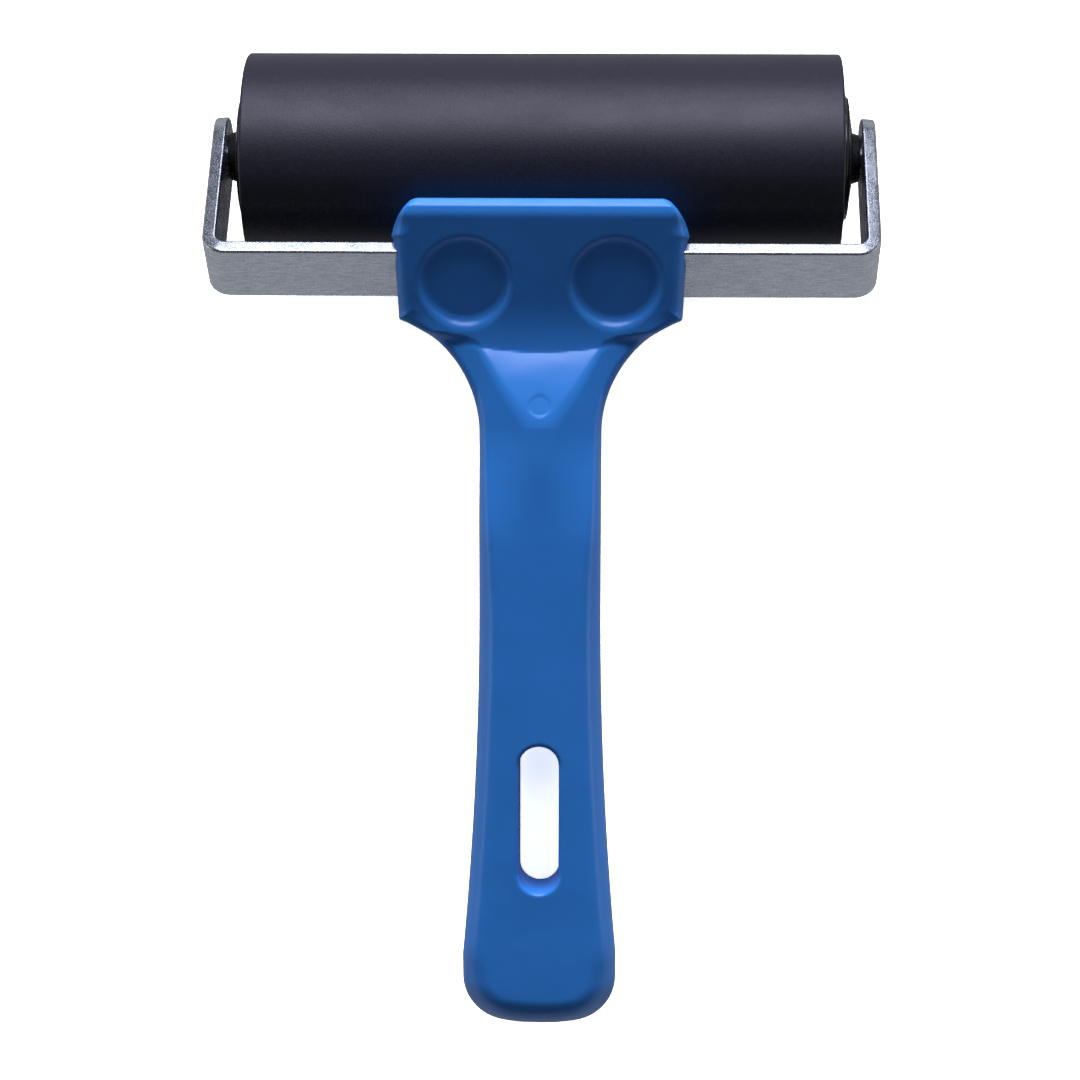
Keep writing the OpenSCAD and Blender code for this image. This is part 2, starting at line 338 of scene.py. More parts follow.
def surface_net(field, low, high, step):
    """Quads of the surface where the field is 0, drawn onto it, with its normals."""
    axes = [np.arange(low[k], high[k] + step, step) for k in range(3)]
    grid = np.meshgrid(*axes, indexing="ij")
    value = field(*grid)
    inside = value < 0
    cells = tuple(n - 1 for n in inside.shape)
    corners = [
        inside[i:i + cells[0], j:j + cells[1], k:k + cells[2]]
        for i in (0, 1) for j in (0, 1) for k in (0, 1)
    ]
    count = sum(c.astype(np.int8) for c in corners)
    mixed = (count > 0) & (count < 8)
    ids = np.full(cells, -1, np.int64)
    ids[mixed] = np.arange(int(mixed.sum()))
    at = np.argwhere(mixed)
    # Each vertex starts at the mean of its cell's edge crossings.
    total = np.zeros((len(at), 3))
    hits = np.zeros(len(at))
    for axis in range(3):
        for b in (0, 1):
            for c in (0, 1):
                start = at.copy()
                start[:, (axis + 1) % 3] += b
                start[:, (axis + 2) % 3] += c
                end = start.copy()
                end[:, axis] += 1
                v0 = value[tuple(start.T)]
                v1 = value[tuple(end.T)]
                cut = (v0 < 0) != (v1 < 0)
                share = np.where(cut, v0 / np.where(cut, v0 - v1, 1), 0)
                place = start.astype(float)
                place[:, axis] += share
                total[cut] += place[cut]
                hits += cut
    points = np.array(low) + total / hits[:, None] * step
    # Each grid edge that the surface crosses gives a quad of its four cells.
    quads = []
    for axis in range(3):
        b, c = (axis + 1) % 3, (axis + 2) % 3
        first = [slice(None)] * 3
        last = [slice(None)] * 3
        first[axis], last[axis] = slice(0, -1), slice(1, None)
        change = inside[tuple(first)] != inside[tuple(last)]
        where = np.argwhere(change)
        where = where[(where[:, b] > 0) & (where[:, c] > 0)]
        where = where[(where[:, b] < cells[b]) & (where[:, c] < cells[c])]
        ring = []
        for db, dc in ((-1, -1), (0, -1), (0, 0), (-1, 0)):
            cell = where.copy()
            cell[:, b] += db
            cell[:, c] += dc
            ring.append(ids[tuple(cell.T)])
        quad = np.stack(ring, 1)
        outward = inside[tuple(where.T)]
        quad[~outward] = quad[~outward][:, ::-1]
        quads.append(quad)
    quads = np.concatenate(quads)
    pairs = np.concatenate([quads[:, [k, (k + 1) % 4]] for k in range(4)])
    degree = np.bincount(pairs.ravel(), minlength=len(points))[:, None]
    for _ in range(EVEN_ROUNDS):
        near = np.zeros_like(points)
        for k in range(3):
            near[:, k] = np.bincount(pairs[:, 0], points[pairs[:, 1], k], len(points))
            near[:, k] += np.bincount(pairs[:, 1], points[pairs[:, 0], k], len(points))
        points = mix(points, near / degree, EVEN_SHARE)
        for _ in range(DRAW_ROUNDS):
            slope = slope_of(field, points)
            steep = np.maximum((slope ** 2).sum(1), LEAST_SLOPE)
            push = field(*points.T)[:, None] * slope / steep[:, None]
            points = points - np.clip(push, -0.5 * step, 0.5 * step)
    slope = slope_of(field, points)
    return points, quads, slope / np.linalg.norm(slope, axis=1)[:, None]


def mesh_piece(name, points, faces, to_world, normals=None):
    """A smooth-shaded mesh object, its points given in mm in a local frame."""
    mesh = bpy.data.meshes.new(name)
    turned = np.asarray(points, float) @ np.array(to_world.to_3x3()).T
    world = turned + np.array(to_world.translation)
    mesh.from_pydata(world.tolist(), [], [list(map(int, f)) for f in faces])
    mesh.polygons.foreach_set("use_smooth", [True] * len(mesh.polygons))
    if normals is not None:
        facing = normals @ np.array(to_world.to_3x3().normalized()).T
        mesh.normals_split_custom_set_from_vertices(facing.tolist())
    mesh.update()
    piece = bpy.data.objects.new(name, mesh)
    bpy.context.scene.collection.objects.link(piece)
    return piece


def weighted(piece):
    """Flat faces shade flat, and the rounds between them carry the turn."""
    mod = piece.modifiers.new("shade", "WEIGHTED_NORMAL")
    mod.weight = 100
    mod.keep_sharp = False
    return piece


def lathe(name, profile, to_world, segments=160):
    """A ring or solid of revolution about X. The profile is a closed loop of (x, radius)."""
    profile = np.array(profile, float)
    turn = np.linspace(0, 2 * math.pi, segments, endpoint=False)
    n = len(profile)
    x = np.repeat(profile[:, 0][None], segments, 0)
    y = profile[:, 1][None] * np.cos(turn)[:, None]
    z = profile[:, 1][None] * np.sin(turn)[:, None]
    points = np.stack([x, y, z], 2).reshape(-1, 3)
    faces = []
    for s in range(segments):
        a, b = s * n, ((s + 1) % segments) * n
        for i in range(n):
            j = (i + 1) % n
            faces.append((a + i, a + j, b + j, b + i))
    piece = mesh_piece(name, points, faces, to_world)
    tidy(piece)
    return weighted(piece)


def tidy(piece):
    """Merges coinciding points and turns the faces outward."""
    bm = bmesh.new()
    bm.from_mesh(piece.data)
    bmesh.ops.remove_doubles(bm, verts=bm.verts, dist=2e-7)
    bmesh.ops.dissolve_degenerate(bm, dist=1e-8, edges=bm.edges)
    bmesh.ops.recalc_face_normals(bm, faces=bm.faces)
    bm.to_mesh(piece.data)
    bm.free()
    piece.data.polygons.foreach_set("use_smooth", [True] * len(piece.data.polygons))


# ---------------------------------------------------------------- the handle
def in_handle(along, across):
    """A point given along and across the yoke, in the handle's own plane."""
    return (
        along * math.cos(BEND) + across * math.sin(BEND),
        -along * math.sin(BEND) + across * math.cos(BEND),
    )


def face_height(p):
    """Height of the head's sloping face."""
    back_p, back_q = in_handle(FRONT_FACE - LAND_W, HEAD_RISE)
    return back_q - LAND_DROP - (back_p - p) * math.tan(FACE_FALL)


# The face falls to the crease; the scoop rises from it, steep at first, then as
# a nearly flat facet up to the handle's top. Its slope is summed and then scaled.
scoop_p = np.linspace(CREASE_P, SCOOP_END_P, 40)
scoop_slope = SCOOP_FACET + SCOOP_STEEPER * np.exp((scoop_p - CREASE_P) / SCOOP_FADE)
scoop_rise = np.concatenate([[0], np.cumsum((scoop_slope[1:] + scoop_slope[:-1]) / 2)])
scoop_q = CREASE_Q + scoop_rise / scoop_rise[-1] * (HANDLE_TOP - CREASE_Q)


def side_outline():
    """The head and handle from the side, as (p, q) points."""
    low = in_handle(FRONT_FACE, -STRIP_W / 2 - BOTTOM_WALL)
    top = in_handle(FRONT_FACE, HEAD_RISE)
    back = in_handle(FRONT_FACE - LAND_W, HEAD_RISE)
    # A near-level shelf joins the land to the face.
    shelf = math.tan(SHELF_FALL)
    shelf_p = back[0] - SHELF_W
    shelf_q = face_height(shelf_p)
    to_shelf = shelf_q - top[1] - (top[0] - shelf_p) * shelf
    to_back = back[1] - top[1] - (top[0] - back[0]) * shelf
    share = to_shelf / to_back
    land_end = (mix(top[0], back[0], share), mix(top[1], back[1], share))
    head = rounded([
        (low[0], low[1], 0.9), (top[0], top[1], 0.35), (*land_end, 0.5), (shelf_p, shelf_q, 5.0),
        (FACE_BEND_P, face_height(FACE_BEND_P), 0),
    ])
    # The face's lower end curves level, down to the crease.
    steep, level = math.tan(FACE_FALL), math.tan(CREASE_FALL)
    p, q = head[-1]
    face = []
    steps = 14
    stride = (p - CREASE_P) / steps
    ease = (q - CREASE_Q) / ((p - CREASE_P) * mix(steep, level, 0.5))
    for i in range(steps):
        q -= stride * ease * mix(steep, level, (i + 0.5) / steps)
        p -= stride
        face.append((p, q))
    scoop = list(zip(scoop_p, scoop_q))
    # It runs past the end: the plan's outline and its rounded edge close the handle there.
    underside = HANDLE_TOP - HANDLE_T
    end = [(-HANDLE_L - END_PAST, HANDLE_TOP), (-HANDLE_L - END_PAST, underside)]
    run, drop = low[0] - KEEL_END_P, underside - low[1]
    keel_r = (run * run + drop * drop) / (2 * drop)
    keel_turn = math.degrees(math.asin(run / keel_r))
    keel = arc(KEEL_END_P, underside - keel_r, keel_r, 90, 90 - keel_turn)[:-2]
    return head + face[:-1] + scoop + end + keel


def half_plan():
    """Half of the head and handle from above, as (x, p) points."""
    neck, grip, low = NECK_W / 2, GRIP_W / 2, HEAD_W / 2 - HEAD_DRAFT
    top_p = WIDEST_P + CORNER_ARC_R * math.sin(math.radians(CORNER_TURN))
    shoulder_x = neck + SHOULDER_R
    shoulder_from = math.degrees(math.atan2(HEAD_LOW_P - SHOULDER_END_P, low - shoulder_x))
    run, rise = FLARE_START_P - FLARE_END_P, grip - neck
    flare_r = (run * run + rise * rise) / (2 * rise)
    flare_turn = math.degrees(math.asin(run / flare_r))
    steps = 30
    corner = arc(HEAD_W / 2 - CORNER_ARC_R, WIDEST_P, CORNER_ARC_R, 0, CORNER_TURN, steps)
    corner = [(x - CORNER_PULL * k / steps, p) for k, (x, p) in enumerate(corner)]
    return (
        [(0.0, top_p)]
        + corner[::-1]
        + [(HEAD_W / 2 - LEDGE, WIDEST_P - LEDGE), (low, HEAD_LOW_P)]
        + arc(shoulder_x, SHOULDER_END_P, SHOULDER_R, shoulder_from, 180)
        + arc(neck + flare_r, FLARE_START_P, flare_r, 180, 180 + flare_turn)
        + arc(grip - END_CORNER_R, END_CORNER_R - HANDLE_L + END_BOW, END_CORNER_R, 0, -84)
        + [(0.45 * (grip - END_CORNER_R), 0.2 * END_BOW - HANDLE_L), (0.0, -HANDLE_L)]
    )


half = half_plan()
PLAN = Outline(half + [(-x, p) for x, p in half[-2:0:-1]], (-1.0, -133.0), (27.0, 16.0))
SIDE = Outline(side_outline(), (-134.0, -12.0), (16.0, 12.0))
plan_p = np.array([p for x, p in half][::-1])
plan_x = np.array([x for x, p in half][::-1])


def crown(x, p):
    """Height of the crowned top surface."""
    wide = np.interp(p, plan_p, plan_x)
    # The flanks follow the scoop's own curve, so that its sides are straight.
    out = (x - VERTEX_HALF) / (SCOOP_HALF - VERTEX_HALF)
    out = 0.5 * (out + np.hypot(out, 0.12))
    along = mix(SCOOP_END_P, CREASE_P, np.minimum(out, 1))
    scoop = np.interp(along, scoop_p[::-1], scoop_q[::-1])
    neck = HANDLE_TOP - scoop + FLANK * np.maximum(out - 1, 0)
    aside = np.maximum(x - CROWN_FLAT, 0) / np.maximum(wide - CROWN_FLAT, 1)
    grip = CROWN_DROP * aside ** CROWN_POWER
    drop = mix(grip, neck, smooth_step(*GRIP_TO_NECK, p))
    head = smooth_step(*CROWN_TO_HEAD, p)
    return HANDLE_TOP - drop * (1 - head) + HEAD_LIFT * head


def crowned(x, p, q):
    """The side's outline under the crowned top, with the crease bowed to the handle."""
    bow = CREASE_BOW * (0.5 - np.minimum((x / SCOOP_HALF) ** 2, 1.4))
    bowed = p + bow * np.exp(-((p - CREASE_P) / CREASE_BOW_REACH) ** 2)
    reach = 0.1
    lean = (crown(x + reach, bowed) - crown(x - reach, bowed)) / (2 * reach)
    top = (q - crown(x, bowed)) / np.sqrt(1 + lean ** 2)
    return round_and(SIDE(bowed, q), top, mix(0.05, 0.45, smooth_step(*SCOOP_TO_SOFT, p)))


def outer_edge(p, q, to_head):
    """Radius of the edge around the plan: larger on the grip and on top."""
    upper = smooth_step(mix(GRIP_LOW_Q, HEAD_LOW_Q, to_head), mix(GRIP_TOP_Q, HEAD_TOP_Q, to_head), q)
    low_edge = mix(GRIP_EDGE_LOW, HEAD_EDGE_LOW, to_head)
    edge = mix(low_edge, mix(GRIP_EDGE_TOP, HEAD_EDGE_TOP, to_head), upper)
    # It is small at the head's front, and along the top of the neck and shoulders.
    edge = mix(edge, FRONT_EDGE, smooth_step(*FRONT_EDGE_IN, p))
    along_neck = smooth_step(*NECK_EDGE_IN, p) * smooth_step(*NECK_EDGE_OUT, p)
    edge = mix(edge, NECK_EDGE, along_neck * upper)
    end_edge = mix(END_BOTTOM_R, END_TOP_R, upper)
    return mix(end_edge, edge, smooth_step(-HANDLE_L + 3, -HANDLE_L + 16, p))


def tunnel(along, across):
    """The strip's way through the head, in the yoke's directions."""
    u = np.abs(along) - STRIP_T / 2 - FIT + TUNNEL_CORNER_R
    v = np.abs(across) - STRIP_W / 2 - FIT + TUNNEL_CORNER_R
    outside = np.hypot(np.maximum(u, 0), np.maximum(v, 0))
    return outside + np.minimum(np.maximum(u, v), 0) - TUNNEL_CORNER_R


def hanging_slot(x, p):
    straight = (SLOT_L - SLOT_W) / 2
    middle = SLOT_INSET + SLOT_L / 2 - HANDLE_L
    return np.hypot(x, np.maximum(np.abs(p - middle) - straight, 0)) - SLOT_W / 2


def dish(x, p, q):
    """A round recess with sloping walls, sunk square to the face."""
    dp, dq = p - DISH_P, q - face_height(DISH_P)
    in_face = dp * math.cos(DISH_LEAN) + dq * math.sin(DISH_LEAN)
    over = -dp * math.sin(DISH_LEAN) + dq * math.cos(DISH_LEAN) + DISH_FLOOR
    radial = np.hypot(x - DISH_PITCH / 2, in_face)
    wall = (radial - DISH_FLOOR_R - DISH_FLARE * over) / math.hypot(1, DISH_FLARE)
    return round_and(wall, -over, DISH_FLOOR_EDGE)


def counterbore(x, along, across):
    """The rivet's stepped hole, from the head's front."""
    radial = np.hypot(x - DISH_PITCH / 2, across) - FIT
    depth = FRONT_FACE - FIT - along
    sink = np.maximum(radial - RIVET_HEAD_D / 2, depth - RIVET_HEAD_T)
    shank = np.maximum(radial - RIVET_D / 2, depth - RIVET_L)
    return np.minimum(sink, shank)


def handle_field(x, p, q):
    """Distance to the whole moulding, negative inside: the body, less its openings."""
    x = np.abs(x)
    to_head = smooth_step(*NECK_TO_HEAD, p)
    along = p * math.cos(BEND) - q * math.sin(BEND)
    across = p * math.sin(BEND) + q * math.cos(BEND)
    body = round_and(crowned(x, p, q), PLAN(x, p), outer_edge(p, q, to_head))
    body = round_and(body, -tunnel(along, across), TUNNEL_EDGE)
    body = round_and(body, -hanging_slot(x, p), SLOT_EDGE)
    body = round_and(body, -dish(x, p, q), DISH_RIM_EDGE)
    body = round_and(body, -counterbore(x, along, across), COUNTERBORE_EDGE)
    # The gate's mark on the scoop, and the line where the mould parts.
    gate = np.hypot(x, p - GATE_P)
    body = body + GATE_DEPTH * smooth_step(GATE_R, 2 / 3 * GATE_R, gate) * (q > 0)
    parting_q = mix(PARTING_GRIP_Q, PARTING_HEAD_Q, to_head)
    parting = np.exp(-((q - parting_q) / PARTING_HALF) ** 2)
    return body + PARTING_DEPTH * parting


GRID = 0.38
FIELD_LOW, FIELD_HIGH = (-25.5, -130.1, -10.4), (25.5, 13.6, 9.8)
points, quads, normals = surface_net(handle_field, FIELD_LOW, FIELD_HIGH, GRID)
handle = mesh_piece("handle_moulding", points, quads, HANDLE_FRAME, normals)


# ---------------------------------------------------------------- the yoke
def yoke_mesh():
    """The bent strip with rounded edges and round tips, in the yoke's frame."""
    edge = STRIP_EDGE
    half_t, half_w = STRIP_T / 2, STRIP_W / 2
    # The section, as (across the thickness, across the width, depth into the rounding).
    ring = []
    turns = np.radians(np.linspace(0, 90, 6))
    for side in (1, -1):
        for n in np.linspace(-1, 1, 9):
            ring.append((-side * half_t, side * n * (half_w - edge), edge))
        for face, sweep in ((-side, turns[1:]), (side, turns[::-1][:-1])):
            for t in sweep:
                ring.append((
                    face * (half_t - edge + edge * math.cos(t)),
                    side * (half_w - edge + edge * math.sin(t)),
                    edge - edge * math.sin(t),
                ))
    mid_r = BEND_R + half_t
    bend_x, bend_y = ARM_INSIDE - BEND_R, mid_r - STRIP_MID
    tip = ARM_TIP - half_w
    arm_x = ARM_INSIDE + half_t
    # The right half's stations: place, outward normal, and the sine and cosine by
    # which the section narrows and moves on at the arm's round tip.
    right = []
    for t in np.radians(np.linspace(0, 90, 13)):
        right.append((arm_x, tip, (1, 0), math.sin(t), math.cos(t)))
    for a in np.linspace(tip, bend_y, 12)[1:-1]:
        right.append((arm_x, a, (1, 0), 1, 0))
    for t in np.radians(np.linspace(0, -90, 13)):
        nx, na = math.cos(t), math.sin(t)
        right.append((bend_x + mid_r * nx, bend_y + mid_r * na, (nx, na), 1, 0))
    for x in np.linspace(bend_x, -bend_x, 40)[1:20]:
        right.append((x, -STRIP_MID, (0, -1), 1, 0))
    left = [(-x, a, (-nx, na), s, c) for x, a, (nx, na), s, c in right[::-1]]
    stations = right + left
    points = []
    for x, a, (nx, na), s, c in stations:
        # The arms' front edges roll outwards a little; the cross-member's don't.
        angle = math.radians(ROLL_RIGHT if x > 0 else ROLL_LEFT)
        roll = math.tan(angle) * smooth_step(0.3, 1.0, abs(nx))
        for t, w, inset in ring:
            reach = (half_w - inset) * c
            in_front = w > 0.9 * (half_w - edge)
            drop = roll * (t + half_t) if in_front else 0
            points.append((x + nx * t, a + na * t + reach, (w - drop) * s))
    count = len(ring)
    faces = []
    for i in range(len(stations) - 1):
        for j in range(count):
            k = (j + 1) % count
            here, ahead = i * count, (i + 1) * count
            faces.append((here + j, here + k, ahead + k, ahead + j))
    # At each tip the section has closed to a line, and tidy() joins its two faces.
    piece = mesh_piece("yoke_strip", points, faces, YOKE_FRAME)
    tidy(piece)
    return piece


def drilled(piece, cutters):
    """Cuts the cutters out of the piece and removes them."""
    for cutter in cutters:
        mod = piece.modifiers.new("drill", "BOOLEAN")
        mod.operation = "DIFFERENCE"
        mod.solver = "EXACT"
        mod.object = cutter
    bpy.context.view_layer.update()
    evaluated = piece.evaluated_get(bpy.context.evaluated_depsgraph_get())
    cut = bpy.data.meshes.new_from_object(evaluated)
    piece.modifiers.clear()
    piece.data = cut
    for cutter in cutters:
        bpy.data.objects.remove(cutter)
    return piece


yoke = yoke_mesh()
# The axle's bores, chamfered on the outside. Each cutter runs past both faces.
bores = []
past = 1.0
for side in (-1, 1):
    inner, outer = side * (ARM_INSIDE - past), side * (ARM_OUTSIDE + past)
    mouth = side * (ARM_OUTSIDE - BORE_CHAMFER)
    radius = AXLE_D / 2 + BORE_FIT
    wide = radius + BORE_CHAMFER + past
    loop = [(inner, 0), (inner, radius), (mouth, radius), (outer, wide), (outer, 0)]
    bores.append(lathe(f"bore_{side}", loop, ROLLER_FRAME, 64))
weighted(drilled(yoke, bores))

# ---------------------------------------------------------------- the turned pieces
half_l = ROLLER_L / 2
end_x = ARM_OUTSIDE - AXLE_INSET
axle = lathe("axle_rod", rounded([
    (-end_x, AXLE_D / 2, 0.35), (end_x, AXLE_D / 2, 0.35),
    (end_x, CENTRE_R, 0.1), (end_x - CENTRE_DEPTH, 0, 0),
    (CENTRE_DEPTH - end_x, 0, 0), (-end_x, CENTRE_R, 0.1),
]), ROLLER_FRAME, 96)

sleeve = lathe("rubber_sleeve", rounded([
    (-half_l, CORE_D / 2, 0.25), (-half_l, ROLLER_D / 2, ROLLER_EDGE),
    (-half_l * 0.5, ROLLER_D / 2, 0), (0, ROLLER_D / 2, 0), (half_l * 0.5, ROLLER_D / 2, 0),
    (half_l, ROLLER_D / 2, ROLLER_EDGE), (half_l, CORE_D / 2, 0.25),
]), ROLLER_FRAME, 256)

core_in = CORE_D / 2 - CORE_WALL
core_x = half_l - CORE_INSET
core = lathe("core_tube", rounded([
    (-core_x, core_in, 0.2), (-core_x, CORE_D / 2, 0.2),
    (core_x, CORE_D / 2, 0.2), (core_x, core_in, 0.2),
]), ROLLER_FRAME, 160)


def end_frame(side):
    """The roller's frame moved to one end, with X pointing away from the middle."""
    turn = Matrix.Identity(4) if side > 0 else Matrix.Rotation(math.pi, 4, "Z")
    return ROLLER_FRAME @ Matrix.Translation((side * half_l, 0, 0)) @ turn


def end_cap(name, side):
    """A disc with a rim on the roller's end and a spigot in the core, bored for the bush."""
    bore, rim, spigot = BUSH_D / 2, CAP_RIM_D / 2, CORE_D / 2 - CORE_WALL
    cup = spigot - CUP_WALL
    return lathe(name, rounded([
        (-WEB_T, bore, 0.2), (CAP_RIM_T, bore, 0.1), (CAP_RIM_T, rim, 0.3), (0, rim, 0.12),
        (0, spigot, 0.1), (-CAP_SPIGOT_L, spigot, 0.4), (-CAP_SPIGOT_L, cup, 0.4), (-WEB_T, cup, 0.4),
    ]), end_frame(side), 192)


def bush(name, side):
    """A sleeve on the axle, with a thin flange, a shallow dome and a tapered nose."""
    bore = AXLE_D / 2 + AXLE_CLEARANCE
    near = CAP_RIM_T + SEAT_T
    far = near + FLANGE_T
    return lathe(name, rounded([
        (-CAP_SPIGOT_L, bore, 0.2), (NOSE_END, bore, 0.2), (NOSE_END, NOSE_D / 2 - NOSE_TAPER, 0.35),
        (far + DOME_TOP_RISE, NOSE_D / 2, 0.3), (far + DOME_TOP_RISE, DOME_TOP_R, 0.5),
        (far + DOME_RISE, DOME_R, 1.2), (far, BUSH_FLANGE_D / 2, 0.08), (near, BUSH_FLANGE_D / 2, 0.08),
        (near, SEAT_R, 0.05), (CAP_RIM_T, SEAT_R, 0.05), (CAP_RIM_T, BUSH_D / 2, 0.05),
        (-CAP_SPIGOT_L, BUSH_D / 2, 0.4),
    ]), end_frame(side), 192)


cap_left = end_cap("cap_left", -1)
cap_right = end_cap("cap_right", 1)
bush_left = bush("bearing_bush_left", -1)
bush_right = bush("bearing_bush_right", 1)


def rivet(name, side):
    """A low domed rivet, its axis along the yoke, set a little under the front."""
    place = YOKE_FRAME @ Matrix.Translation((side * DISH_PITCH / 2, FRONT_FACE - STRIP_MID, 0))
    place = place @ Matrix.Rotation(math.pi / 2, 4, "Z")
    return lathe(name, rounded([
        (-RIVET_L, 0, 0), (-RIVET_L, RIVET_D / 2, 0.4), (-RIVET_HEAD_T, RIVET_D / 2, 0.1),
        (-RIVET_HEAD_T, RIVET_HEAD_D / 2, 0.1), (RIVET_RIM_X, RIVET_HEAD_D / 2, 0.3),
        (-RIVET_UNDER, RIVET_FLAT_R, 1.5), (-RIVET_UNDER, 0, 0),
    ]), place, 96)


rivets = [rivet("rivet_left", -1), rivet("rivet_right", 1)]


# ---------------------------------------------------------------- materials
class Nodes:
    """A material under construction."""

    def __init__(self, name, **settings):
        self.material = bpy.data.materials.new(name)
        self.material.use_nodes = True
        self.tree = self.material.node_tree
        self.shader = self.tree.nodes["Principled BSDF"]
        for socket, value in settings.items():
            self.shader.inputs[socket.replace("_", " ")].default_value = value
        self.place = self.add("ShaderNodeTexCoord").outputs["Object"]

    def add(self, kind, **values):
        node = self.tree.nodes.new(kind)
        for key, value in values.items():
            setattr(node, key, value)
        return node

    def link(self, source, target):
        self.tree.links.new(source, target)

    def mapped(self, stretch, turn=(0, 0, 0), centre=(0, 0, 0)):
        """Object coordinates in mm about a centre, turned, then stretched."""
        shift = self.add("ShaderNodeMapping", vector_type="POINT")
        shift.inputs["Location"].default_value = tuple(-c for c in centre)
        self.link(self.place, shift.inputs["Vector"])
        turned = self.add("ShaderNodeMapping", vector_type="POINT")
        turned.inputs["Rotation"].default_value = turn
        self.link(shift.outputs[0], turned.inputs["Vector"])
        sized = self.add("ShaderNodeMapping", vector_type="POINT")
        sized.inputs["Scale"].default_value = tuple(s / MM for s in stretch)
        self.link(turned.outputs[0], sized.inputs["Vector"])
        return sized.outputs[0]

    def noise(self, where, scale, detail=3.0, rough=0.5):
        node = self.add("ShaderNodeTexNoise")
        node.inputs["Scale"].default_value = scale
        node.inputs["Detail"].default_value = detail
        node.inputs["Roughness"].default_value = rough
        self.link(where, node.inputs["Vector"])
        return node.outputs["Fac"]

    def span(self, value, low, high, out_low, out_high):
        """The value's range from low to high, mapped onto another."""
        node = self.add("ShaderNodeMapRange")
        ends = {"From Min": low, "From Max": high, "To Min": out_low, "To Max": out_high}
        for key, number in ends.items():
            node.inputs[key].default_value = number
        self.link(value, node.inputs["Value"])
        return node.outputs[0]

    def maths(self, kind, a, b):
        node = self.add("ShaderNodeMath", operation=kind)
        for slot, value in enumerate((a, b)):
            if isinstance(value, (int, float)):
                node.inputs[slot].default_value = value
            else:
                self.link(value, node.inputs[slot])
        return node.outputs[0]

    def blend(self, share, low, high):
        """A colour between two fixed ones."""
        node = self.add("ShaderNodeMix", data_type="RGBA")
        node.inputs["A"].default_value = (*low, 1)
        node.inputs["B"].default_value = (*high, 1)
        self.link(share, node.inputs["Factor"])
        return node.outputs["Result"]

    def bump(self, height, depth, under=None):
        """Depth in mm for a height from 0 to 1."""
        node = self.add("ShaderNodeBump")
        node.inputs["Strength"].default_value = 1.0
        node.inputs["Distance"].default_value = depth * MM
        self.link(height, node.inputs["Height"])
        if under is not None:
            self.link(under, node.inputs["Normal"])
        return node.outputs["Normal"]

    def feed(self, **sources):
        """Links the shader's sockets and hands over the material."""
        for socket, source in sources.items():
            self.link(source, self.shader.inputs[socket.replace("_", " ")])
        return self.material


def plastic_material():
    """Glossy blue moulding with a faint orange peel and scuffs along the handle."""
    m = Nodes("blue_polypropylene", IOR=1.49, Specular_IOR_Level=0.5)
    plain = m.mapped((1, 1, 1))
    cloud = m.noise(plain, 0.07, 2.0)
    tone = m.span(cloud, 0.3, 0.7, 0, 1)
    colour = m.blend(tone, (0.034, 0.232, 0.80), (0.039, 0.252, 0.86))
    wave = m.noise(plain, 0.16, 1.5)
    peel = m.noise(plain, 2.6, 3.0, 0.6)
    scuff = m.noise(m.mapped((1.2, 0.12, 1.2), (-HANDLE_LEAN, 0, 0)), 3.0, 4.0, 0.7)
    rough = m.span(scuff, 0.25, 0.75, 0.225, 0.265)
    normal = m.bump(peel, 0.004, m.bump(wave, 0.10))
    return m.feed(Base_Color=colour, Roughness=rough, Normal=normal)


def zinc_material():
    """Zinc plate: grain drawn along the strip, specks and cloudy patches of gloss."""
    m = Nodes("zinc_plate", Metallic=1.0)
    turned = dict(turn=(YOKE_LEAN, 0, 0), centre=tuple(AXLE))
    grain = m.noise(m.mapped((0.16, 0.16, 1.9), **turned), 2.2, 4.0, 0.65)
    speck = m.noise(m.mapped((1, 1, 1)), 3.2, 3.0, 0.75)
    patch = m.noise(m.mapped((0.5, 0.5, 1), **turned), 0.35, 3.0, 0.6)
    tone = m.maths("ADD", m.maths("MULTIPLY", grain, 0.55), m.maths("MULTIPLY", speck, 0.45))
    tone = m.span(tone, 0.38, 0.62, 0, 1)
    colour = m.blend(tone, (0.40, 0.44, 0.52), (0.80, 0.86, 0.96))
    fine = m.span(speck, 0.3, 0.7, -0.03, 0.09)
    rough = m.maths("ADD", m.span(patch, 0.3, 0.7, 0.20, 0.30), fine)
    normal = m.bump(speck, 0.028, m.bump(grain, 0.036))
    return m.feed(Base_Color=colour, Roughness=rough, Normal=normal)


def steel_material(name, low, high, stretch, centre):
    """Plain steel between two colours, with fine turned rings."""
    m = Nodes(name, Metallic=1.0)
    rings = m.noise(m.mapped(stretch, centre=centre), 1.0, 4.0, 0.6)
    speck = m.noise(m.mapped((1, 1, 1)), 2.2, 3.0, 0.6)
    colour = m.blend(m.span(rings, 0.35, 0.65, 0, 1), low, high)
    rough = m.span(speck, 0.3, 0.7, 0.24, 0.38)
    return m.feed(Base_Color=colour, Roughness=rough, Normal=m.bump(rings, 0.006))


def rubber_material():
    """Ground satin rubber: grit, rings from the grinding and cloudy gloss."""
    m = Nodes("ground_rubber", IOR=1.5, Specular_IOR_Level=0.5)
    plain = m.mapped((1, 1, 1))
    grit = m.noise(plain, 2.8, 4.0, 0.7)
    ground = m.noise(m.mapped((2.6, 0.5, 0.5), centre=tuple(AXLE)), 1.4, 4.0, 0.7)
    cloud = m.noise(m.mapped((0.6, 1, 1)), 0.12, 3.0, 0.6)
    tone = m.span(grit, 0.35, 0.7, 0, 1)
    colour = m.blend(tone, (0.008, 0.008, 0.019), (0.018, 0.018, 0.036))
    fine = m.span(grit, 0.3, 0.7, -0.04, 0.06)
    rough = m.maths("ADD", m.span(cloud, 0.3, 0.7, 0.40, 0.48), fine)
    normal = m.bump(grit, 0.028, m.bump(ground, 0.012))
    return m.feed(Base_Color=colour, Roughness=rough, Normal=normal)


